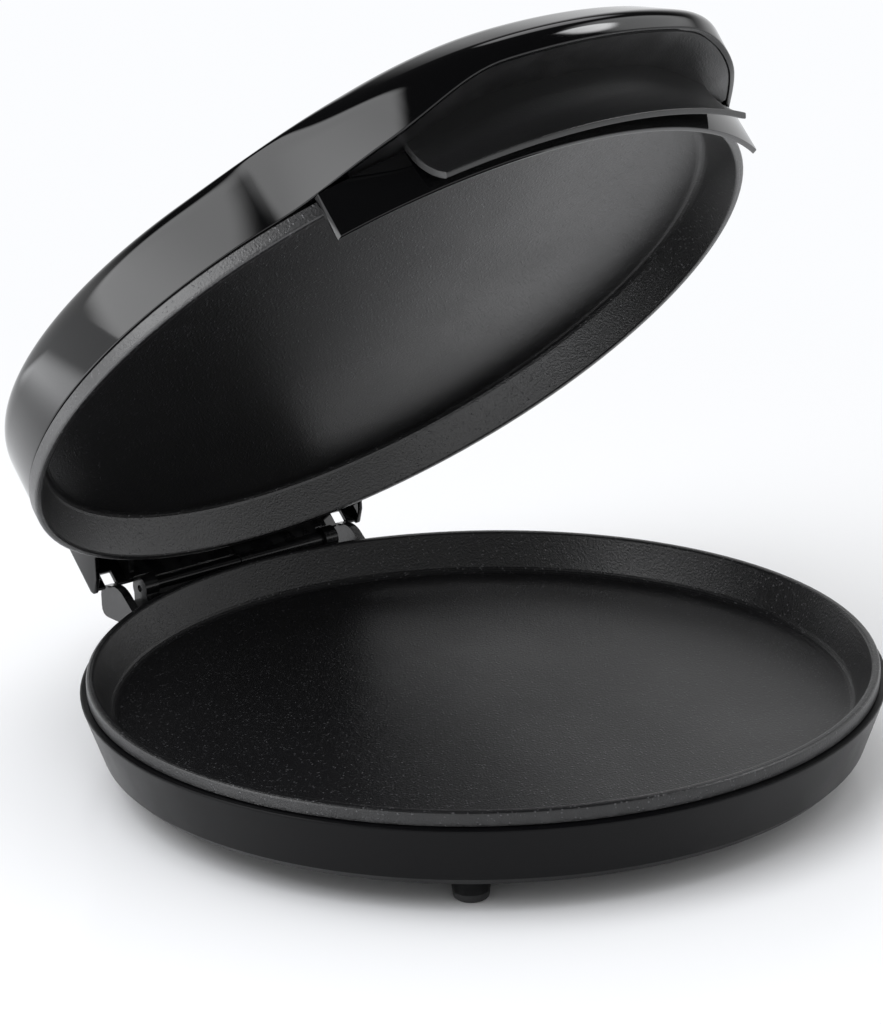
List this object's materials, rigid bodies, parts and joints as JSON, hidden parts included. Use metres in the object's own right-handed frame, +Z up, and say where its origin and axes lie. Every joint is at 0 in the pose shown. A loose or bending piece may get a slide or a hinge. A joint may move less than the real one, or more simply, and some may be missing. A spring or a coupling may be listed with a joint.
{
  "type": "electric pizza maker",
  "caption": "Round clamshell pizza maker, open: a legged base and a hinged, hooded lid, each with a dished, coated plate.",
  "frame": {"origin": "on the table, under the middle of the open object's box", "axes": "+Z up, -Y to the front where the grip is, +X to the right; the hinge runs along X at the rear"},
  "size_m": [0.3304, 0.3635, 0.3178],
  "materials": {
    "gloss_black": "high gloss black moulding",
    "satin_black": "satin black moulding",
    "rubber": "matt black rubber",
    "coating": "dark non-stick coating on a cast plate",
    "steel": "plain steel",
    "bright_sheet": "bright sheet",
    "phenolic": "dark moulded body",
    "mica": "pale heat-proof moulding",
    "sleeving": "woven heat-proof sleeving",
    "fuse_sleeve": "sleeved fuse",
    "red_lens": "clear red lens",
    "green_lens": "clear green lens",
    "board": "lamp board"
  },
  "bodies": {
    "base": {"base_housing": "satin_black", "foot_pads": "rubber", "lower_plate": "coating", "lower_element": "steel", "lower_reflector": "bright_sheet", "lower_clips": "steel", "thermostat": "phenolic", "lower_thermal_fuse": "fuse_sleeve", "terminal_block": "mica", "base_leads": "sleeving", "base_screws": "steel", "cord_bush": "rubber", "hinge_pin": "steel"},
    "lid": {"lid_shell": "gloss_black", "grip_cover": "satin_black", "heat_guard": "gloss_black", "upper_plate": "coating", "upper_element": "steel", "upper_reflector": "bright_sheet", "upper_clips": "steel", "upper_thermal_fuse": "fuse_sleeve", "lid_leads": "sleeving", "lid_screws": "steel", "lid_hinge_bracket": "satin_black", "bracket_screws": "steel", "power_lens": "red_lens", "ready_lens": "green_lens", "lamp_board": "board"}
  },
  "joints": [
    {"name": "lid_hinge", "type": "hinge", "parent": "base", "child": "lid", "pos_m": [0, 0.15598, 0.0413], "axis": [-1, 0, 0], "range_deg": [-44.5, 45.5]}
  ]
}
